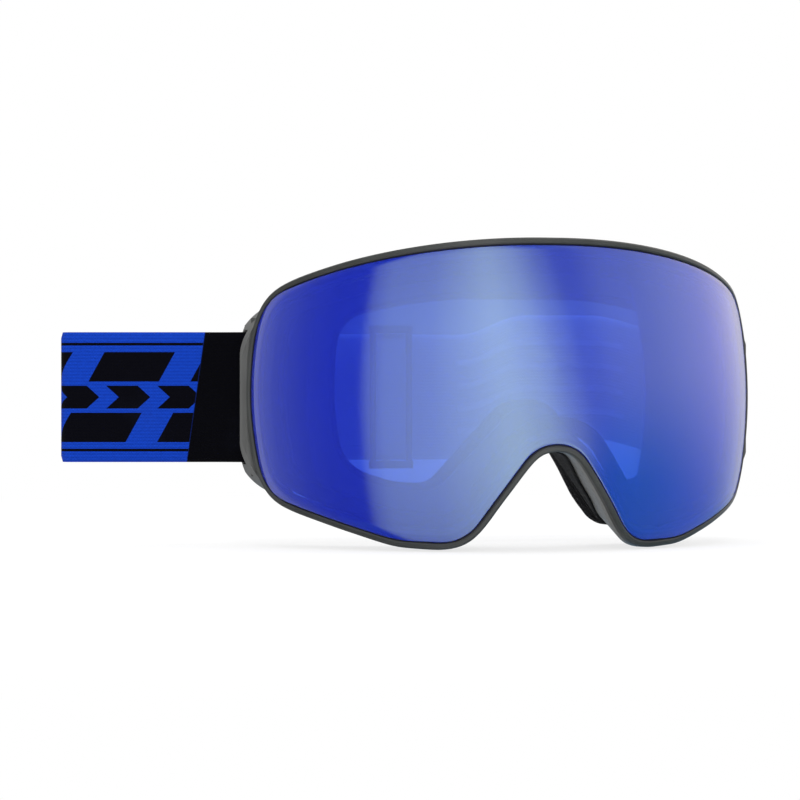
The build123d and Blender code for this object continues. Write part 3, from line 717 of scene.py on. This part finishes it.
def spacer_ring():
    """Foam between the two lenses, with soft edges."""
    gap, corner, corner_depth, swell = 0.05, 0.2, 0.4, 0.05
    top, bottom = LENS_THICKNESS + gap, LENS_THICKNESS + LENS_GAP - gap
    middle = (top + bottom) / 2
    outer, inner = INNER_INSET, INNER_INSET + SPACER_WIDTH
    profile = [(outer + corner, top), (inner - corner, top), (inner, top + corner_depth),
               (inner + swell, middle), (inner, bottom - corner_depth), (inner - corner, bottom),
               (outer + corner, bottom), (outer, bottom - corner_depth), (outer - swell, middle),
               (outer, top + corner_depth)]
    sections = [[lens_point(s - inset * ds, z - inset * dz, depth) for inset, depth in profile]
                for s, z, ds, dz in LENS_RING]
    soft_piece(tube_mesh("spacer", sections), "lens_spacer", open_foam, 0.0, 0)


# ---- Frame and lenses ----
for name, material in (
        ("outer_frame", rim_plastic), ("inner_frame", grey_plastic), ("face_plate", grey_plastic),
        ("wing_left", wing_plastic), ("wing_right", wing_plastic), ("lens_seal", black_rubber),
        ("strap_bar_left", steel_bar), ("strap_bar_right", steel_bar), ("wing_pins", steel_bar),
        ("slider", hardware_plastic), ("ring", hardware_plastic), ("grip_lines", silicone)):
    nodes[name].data.materials.clear()
    nodes[name].data.materials.append(material)

lens_shell("mirror_lens", "outer_lens", 0.0, 0.0, LENS_THICKNESS, lens_coat())
lens_shell("rear_lens", "inner_lens", INNER_INSET, LENS_THICKNESS + LENS_GAP, INNER_THICKNESS,
           clear_lens())
spacer_ring()


# ---- Vent foam ----
for name, node, stations, seed in (
        ("top_vent_pad", "top_vent_foam",
         [i % RING_COUNT for i in range(-TOP_VENT_LAST, TOP_VENT_LAST + 1)], 4),
        ("low_vent_pad_left", "low_vent_foam_left", range(LOW_VENT_FIRST, LOW_VENT_LAST + 1), 5),
        ("low_vent_pad_right", "low_vent_foam_right",
         range(RING_COUNT - LOW_VENT_LAST, RING_COUNT - LOW_VENT_FIRST + 1), 6)):
    wall_foam(name, node, stations, WALL + VENT_GAP, VENT_FOAM_THICKNESS,
              [VENT_START] * len(stations), VENT_END, vent_foam, seed)


# ---- Face foam ----
# A fine parting is left between one layer's rear and the next one's front.
base_rear = FLEECE_DEPTH + MIDDLE_DEPTH
foam_layer("base_foam", "foam_base", FOAM_DEPTH, base_rear, open_foam,
           bulge=0.5, crown=0.0, rough=0.18, seed=1)
foam_layer("middle_foam", "foam_middle", base_rear - LAYER_PARTING, FLEECE_DEPTH, firm_foam,
           bulge=0.4, crown=0.0, rough=0.12, seed=2)
foam_layer("fleece_layer", "foam_fleece", FLEECE_DEPTH - LAYER_PARTING, 0.0, fleece,
           bulge=0.3, crown=0.9, rough=0.25, seed=3)


def nose_reach(i):
    """Where the foam over the nose part of the frame's wall starts, on the way from the rim."""
    return 1.0 - sum(reach * nose_share(i, *stations) for reach, stations in NOSE_FOAM_STEPS)


nose_stations = range(NOSE_FOAM_START, RING_COUNT - NOSE_FOAM_START + 1)
wall_foam("nose_foam", None, nose_stations, -NOSE_FOAM_PROUD, NOSE_FOAM_THICKNESS,
          [nose_reach(i) for i in nose_stations], NOSE_FOAM_END, open_foam, 7)


# ---- Straps ----

def rounded_route(points, radii, step=1.0):
    """Points along a route seen from above, with its corners rounded."""
    arc_turn = math.radians(12)
    line = [Vector(points[0])]
    for i, radius in enumerate(radii):
        here, before, after = Vector(points[i + 1]), Vector(points[i]), Vector(points[i + 2])
        into, out = (here - before).normalized(), (after - here).normalized()
        turn = into.angle(out)
        start = here - into * radius * math.tan(turn / 2)
        side = 1 if into.x * out.y - into.y * out.x > 0 else -1
        centre = start + Vector((-into.y, into.x)) * radius * side
        count = max(4, int(turn / arc_turn))
        for k in range(count + 1):
            line.append(centre + Matrix.Rotation(side * turn * k / count, 2) @ (start - centre))
    line.append(Vector(points[-1]))
    dense = [line[0]]
    for a, b in zip(line, line[1:]):
        count = max(1, int((b - a).length / step))
        dense += [a.lerp(b, k / count) for k in range(1, count + 1)]
    return dense


def loop_round(bar, towards, start_turn, end_turn):
    """Strap round a bar, from one angle to another measured from the way towards a point."""
    heading, steps = towards - bar, 18
    base = math.atan2(heading.y, heading.x)
    turns = [math.radians(start_turn + (end_turn - start_turn) * k / steps)
             for k in range(steps + 1)]
    return [bar + BAR_LOOP * Vector((math.cos(base + t), math.sin(base + t))) for t in turns]


def hook_round(bar, radius, start_turn, end_turn, way=1):
    """Strap round a bar of the adjuster, every ten degrees from one angle to before another.

    They are counted from the bar's side towards the goggles; way is 1 or -1, for the sense.
    """
    turns = [math.radians(degree) for degree in range(start_turn, end_turn, 10)]
    return [bar + radius * Vector((way * math.sin(t), -math.cos(t))) for t in turns]


def rise_at(x):
    """How far the strap's rear run is lifted there, to pass above the nose opening."""
    if x <= RISE_START or x >= RISE_END:
        return 0.0
    if x < RISE_TOP[0]:
        t = (x - RISE_START) / (RISE_TOP[0] - RISE_START)
    elif x <= RISE_TOP[1]:
        t = 1.0
    else:
        t = (RISE_END - x) / (RISE_END - RISE_TOP[1])
    return RISE * t * t * (3 - 2 * t)


def strap_section():
    """Section of the strap with rounded selvedges: (height, half thickness) all round it."""
    steps, roundness = 22, 0.96
    half, ends = STRAP_WIDTH / 2, CLOTH_THICKNESS / 2
    profile = []
    for k in range(steps + 1):
        z = -half + 2 * half * k / steps
        edge = max(0.0, abs(z) - (half - ends)) / ends
        profile.append((z, ends * math.sqrt(max(0.0, 1 - edge * edge * roundness))))
    return profile + [(z, -t) for z, t in reversed(profile)]


def band(name, node, path, cloth, body=None, lifted=False, zero=0):
    """Flat strap along a path seen from above, in place of a CAD strap.

    Its UV map holds the length from the path's point number zero, and the height, in metres.
    """
    section = strap_section()
    mesh = bpy.data.meshes.new(name)
    work = bmesh.new()
    uv_layer = work.loops.layers.uv.new("UVMap")
    rows, lengths, run = [], [], 0.0
    for i, here in enumerate(path):
        before, after = path[max(i - 1, 0)], path[min(i + 1, len(path) - 1)]
        heading = (after - before).normalized()
        side = Vector((heading.y, -heading.x))
        if i:
            run += (here - path[i - 1]).length * MM
        lengths.append(run)
        lift = rise_at(here.x) if lifted else 0.0
        rows.append([work.verts.new(Vector((here.x + side.x * t, here.y + side.y * t,
                                            z + lift)) * MM) for z, t in section])
    start = lengths[zero]
    for i in range(len(path) - 1):
        for k in range(len(section)):
            n = (k + 1) % len(section)
            corners = ((i, k), (i, n), (i + 1, n), (i + 1, k))
            face = work.faces.new([rows[row][column] for row, column in corners])
            for loop, (row, column) in zip(face.loops, corners):
                loop[uv_layer].uv = (lengths[row] - start, section[column][0] * MM)
    work.faces.new(rows[0])
    work.faces.new(rows[-1][::-1])
    made = finish(name, mesh, work)
    made.data.materials.append(cloth)
    if body:
        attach(made, body)
    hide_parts(node)
    return made


# Print from and to these lengths past each bar, in metres.
cloth_front = strap_cloth("strap_printed", (0.0156, 0.112))
cloth_plain = strap_cloth("strap_plain")
cloth_rear = strap_cloth("strap_rear_print", (0.040, 0.215), backed=True)

bar_left, bar_right = Vector((BAR_X, BAR_Y)), Vector((-BAR_X, BAR_Y))
ring_left = Vector((RING_X, RUN_Y + BAR_LOOP))
ring_right = Vector((RING_X + RING_PITCH, RUN_Y + BAR_LOOP))
slider_bar = Vector((SLIDER_X, RETURN_Y + SLIDER_LOOP))
end_left = SLIDER_X - SLIDER_LOOP - END_TAB

# The straps' paths. Distances written in them as numbers lead the cloth on and off the bars.
# Front strap: round the right bar, out to the fold, back to the ring and sewn down behind it.
front_join = bar_right + (Vector((FOLD_X, FOLD_Y)) - bar_right).normalized() * FRONT_JOIN
front_path = [front_join, *loop_round(bar_right, front_join, -60, -300)]
at_bar = len(front_path) - 1
front_path += rounded_route([front_join + Vector((-2, 2 * STRAP_SLOPE)), (FOLD_X, FOLD_Y),
                             (FOLD_X, RUN_Y), (ring_left.x - 6, RUN_Y)],
                            [FOLD_RADIUS, FOLD_RADIUS])
front_path += hook_round(ring_left, BAR_LOOP, -20, 200)
front_path += [Vector((ring_left.x - 4, RUN_Y + 2.6)), Vector((ring_left.x - 8, RUN_Y + 1.55)),
               Vector((ring_left.x - 16, RUN_Y + 1.5))]
front_strap = band("front_strap", "strap_front", front_path, cloth_front, "root", zero=at_bar)
# The lens mirrors the studio only, not the strap right beside it.
front_strap.visible_glossy = False

# Rear strap: round the left bar, round the turn behind the wing, and across to the ring.
rear_join = bar_left + Vector((1, STRAP_SLOPE)).normalized() * REAR_JOIN
rear_path = [rear_join, *loop_round(bar_left, rear_join, 60, 300)]
at_bar = len(rear_path) - 1
rear_path += rounded_route([rear_join, (TURN_X, TURN_Y), (TURN_X, RUN_Y),
                            (ring_right.x + 4, RUN_Y)], [BEND_RADIUS, TURN_RADIUS], step=2.0)
rear_path += hook_round(ring_right, BAR_LOOP, -10, 190, way=-1)
return_join = Vector((ring_right.x + RETURN_START, RUN_Y + 2 * BAR_LOOP))
rear_path += [return_join]
band("rear_strap", "strap_rear", rear_path, cloth_rear, "root", lifted=True, zero=at_bar)

# Return strap: from the ring back along the rear strap to the slider.
return_path = rounded_route([return_join, (ring_right.x + RETURN_LEVEL, RUN_Y + 2 * BAR_LOOP),
                             (ring_right.x + RETURN_SETTLED, RETURN_Y), (end_left, RETURN_Y)],
                            [RETURN_RADIUS, RETURN_RADIUS])
return_strap = band("return_strap", "strap_return", return_path, cloth_plain)

# Its end: round the slider's bar and sewn to itself.
end_path = [Vector((end_left, RETURN_Y)), Vector((end_left + 4, RETURN_Y))]
end_path += hook_round(slider_bar, SLIDER_LOOP, -15, 215)
end_path += [Vector((SLIDER_X - 4.5, RETURN_Y + 2.2)), Vector((SLIDER_X - 6.5, RETURN_Y + 1.5)),
             Vector((end_left + 1.5, RETURN_Y + 1.45))]
band("sewn_end", "strap_end", end_path, cloth_plain, "slider_body")


# ---- Stitching ----

def stitch_tree(name):
    """Geometry Nodes that lay a short rounded bar at each point, along its heading."""
    tree = bpy.data.node_groups.new(name, "GeometryNodeTree")
    for label, kind in (("Geometry", "NodeSocketGeometry"), ("Length", "NodeSocketFloat"),
                        ("Radius", "NodeSocketFloat"), ("Thread", "NodeSocketMaterial")):
        tree.interface.new_socket(label, in_out="INPUT", socket_type=kind)
    tree.interface.new_socket("Geometry", in_out="OUTPUT", socket_type="NodeSocketGeometry")

    def add(kind, inputs=None, output=0, **settings):
        made = tree.nodes.new(kind)
        for key, value in settings.items():
            setattr(made, key, value)
        for key, value in (inputs or {}).items():
            if isinstance(value, bpy.types.NodeSocket):
                tree.links.new(value, made.inputs[key])
            else:
                made.inputs[key].default_value = value
        return made.outputs[output] if made.outputs else None

    given = tree.nodes.new("NodeGroupInput").outputs
    bar = add("GeometryNodeMeshUVSphere", {"Segments": 8, "Rings": 6, "Radius": 1.0}, "Mesh")
    scale = add("ShaderNodeCombineXYZ", {"X": given["Radius"], "Y": given["Radius"],
                                         "Z": given["Length"]})
    shaped = add("GeometryNodeTransform", {"Geometry": bar, "Scale": scale}, "Geometry")
    heading = add("GeometryNodeInputNamedAttribute", {"Name": "heading"}, "Attribute",
                  data_type="FLOAT_VECTOR")
    turn = add("FunctionNodeAlignRotationToVector", {"Vector": heading}, axis="Z")
    laid = add("GeometryNodeInstanceOnPoints", {"Points": given["Geometry"], "Instance": shaped,
                                                "Rotation": turn}, "Instances")
    real = add("GeometryNodeRealizeInstances", {"Geometry": laid}, "Geometry")
    even = add("GeometryNodeSetShadeSmooth", {"Geometry": real}, "Geometry")
    dyed = add("GeometryNodeSetMaterial", {"Geometry": even, "Material": given["Thread"]},
               "Geometry")
    add("NodeGroupOutput", {"Geometry": dyed})
    return tree


def stitches(name, lines, body):
    """Stitches along straight lines (start, end) on the cloth, as one plain mesh."""
    points, tangents = [], []
    for start, end in lines:
        count = int((end - start).length / STITCH_PITCH)
        points += [start.lerp(end, (k + 0.5) / count) * MM for k in range(count)]
        tangents += [(end - start).normalized()] * count
    mesh = bpy.data.meshes.new(name)
    mesh.from_pydata(points, [], [])
    heading = mesh.attributes.new("heading", "FLOAT_VECTOR", "POINT")
    heading.data.foreach_set("vector", [c for t in tangents for c in t])
    seeds = link(mesh, name + "_seeds")
    modifier = seeds.modifiers.new("stitches", "NODES")
    modifier.node_group = stitch_tree(name + "_tree")
    values = {"Length": STITCH_LENGTH / 2 * MM, "Radius": STITCH_RADIUS * MM,
              "Thread": thread_black}
    for item in modifier.node_group.interface.items_tree:
        if item.in_out == "INPUT" and item.name in values:
            modifier[item.identifier] = values[item.name]
    graph = bpy.context.evaluated_depsgraph_get()
    plain = bpy.data.meshes.new_from_object(seeds.evaluated_get(graph))
    plain.name = name
    bpy.data.objects.remove(seeds)
    made = link(plain, name)
    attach(made, body)


def upright(x, y):
    """Line of stitching across the strap there, from its lower edge to its upper one."""
    reach = STRAP_WIDTH / 2 - STITCH_MARGIN
    return Vector((x, y, -reach)), Vector((x, y, reach))


near, far = [upright(ring_left.x - away, RUN_Y + RING_SEAM_LIFT) for away in RING_SEAMS]
stitches("ring_stitches", [near, far, *zip(far, near)], "root")
stitches("end_stitches",
         [upright(end_left + away, RETURN_Y + END_SEAM_LIFT) for away in END_SEAMS],
         "slider_body")

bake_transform(return_strap)


# ---- Floor, backdrop and light ----
# Floor, in metres: its half width, its drop below the goggles, and the distances from the middle
# between which it fades to full white from a lesser share of it.
FLOOR_HALF, FLOOR_DROP = 6.0, 0.0005
FLOOR_FADE, FLOOR_WHITE = (0.1, 0.5), 0.75
# Level of the studio in gloss, at angles in degrees from straight in front towards the wearer's
# left: brightest in front, darkest at the wearer's right, and brighter again behind.
SCREENS = [(-180, 0.36), (-125, 0.30), (-110, 0.12), (-94, 0.045), (-80, 0.015), (-66.5, 0.012),
           (-62, 0.26), (-55, 0.44), (-34, 0.55), (-18, 0.80), (-6, 1.0), (0, 1.0), (12, 0.77),
           (22, 0.42), (32, 0.17), (38, 0.15), (50, 0.18), (68, 0.22), (85, 0.29), (102, 0.37),
           (120, 0.49), (140, 0.66), (180, 0.36)]


def studio_floor():
    """White to the camera, fading from a share that shows shadow near the object; not in gloss."""
    paint = Paint("floor_white")
    seen = paint.ray("Is Camera Ray") + paint.ray("Is Transmission Ray")
    x, y, _ = paint.split(paint.coordinates("Object"))
    away = (x * x + y * y).raised(0.5)
    matt = paint.node("ShaderNodeBsdfDiffuse", {}, {"Color": grey(0.93)})
    white = paint.node("ShaderNodeEmission", {}, {"Color": WHITE, "Strength": 1.0})
    fade = away.smooth(*FLOOR_FADE, start=FLOOR_WHITE)
    shown = paint.shader_mix(seen.least(1.0) * fade, matt, white)
    open_to_gloss = paint.node("ShaderNodeBsdfTransparent", {}, {"Color": WHITE})
    return paint.done(paint.shader_mix(paint.ray("Is Glossy Ray"), shown, open_to_gloss))


low_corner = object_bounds()[0]
floor_z = low_corner.z - FLOOR_DROP
floor_mesh = bpy.data.meshes.new("floor")
floor_mesh.from_pydata([(x * FLOOR_HALF, y * FLOOR_HALF, floor_z)
                        for x, y in ((-1, -1), (1, -1), (1, 1), (-1, 1))], [], [(0, 1, 2, 3)])
floor = link(floor_mesh, "floor")
floor.data.materials.append(studio_floor())


class Sky(Paint):
    """The world, written as a material is."""

    def __init__(self):
        scene.world = bpy.data.worlds.new("studio")
        self.start(scene.world, "ShaderNodeOutputWorld")


def studio_sky():
    """Plain light all round, white to the camera, and in gloss soft screens, which fade towards
    their edges as cloth screens do.
    """
    sky = Sky()
    x, y, z = sky.split(sky.coordinates("Generated"))
    turn = sky.node("ShaderNodeMath", {"operation": "ARCTAN2"}, {0: x, 1: 0.0 - y})
    share = turn / (2 * math.pi) + 0.5 + 0.06 * z * turn.smooth(-0.9, 0.2)
    screens = sky.node("ShaderNodeValToRGB", {"stops": [
        (angle / 360 + 0.5, grey(level)) for angle, level in SCREENS]}, {"Fac": share})
    low_tint = sky.mix(turn.smooth(0.8, 1.8), (0.12, 0.78, 0.6, 1), (0.36, 0.58, 0.80, 1))
    right_tint = sky.mix(z.smooth(-0.30, 0.12), low_tint, (1.55, 1.5, 1.45, 1))
    tinted = sky.mix(turn.smooth(0.45, 0.8), screens, right_tint, "MULTIPLY")
    above = z.size().smooth(0.2, 0.75, 1.48, 1.05)
    gloss = sky.node("ShaderNodeBackground", {}, {"Color": tinted, "Strength": above})
    plain = sky.node("ShaderNodeBackground", {}, {"Color": WHITE, "Strength": 0.42})
    # Dimmer when it is seen through the lens.
    through = sky.ray("Transparent Depth").least(1.0)
    white = sky.node("ShaderNodeBackground", {},
                     {"Color": WHITE, "Strength": 1.0 - 0.65 * through})
    lit = sky.shader_mix(sky.ray("Is Glossy Ray"), plain, gloss)
    seen = sky.ray("Is Camera Ray").most(sky.ray("Is Transmission Ray"))
    sky.done(sky.shader_mix(seen, lit, white))


studio_sky()


def lamp(name, place, aim, width, height, power):
    """Soft box that faces a point."""
    data = bpy.data.lights.new(name, "AREA")
    data.shape = "RECTANGLE"
    data.size, data.size_y, data.energy = width, height, power
    made = bpy.data.objects.new(name, data)
    scene.collection.objects.link(made)
    made.visible_glossy = False
    made.location = place
    made.rotation_euler = (Vector(aim) - Vector(place)).to_track_quat("-Z", "Y").to_euler()


lamp("front_box", (-0.1, -1.4, 0.5), (0, 0, 0), 0.9, 1.2, 13.0)
lamp("right_box", (1.2, -0.2, 0.3), (0, 0, 0), 0.6, 1.4, 7.0)
lamp("left_box", (-1.3, -0.7, 0.3), (-0.05, 0, 0), 0.6, 1.2, 8.0)
lamp("top_box", (0.0, 0.1, 1.4), (0, 0, 0), 1.4, 1.0, 14.0)
lamp("rear_box", (-0.2, 1.4, 0.6), (0, 0, 0), 1.2, 0.8, 10.0)
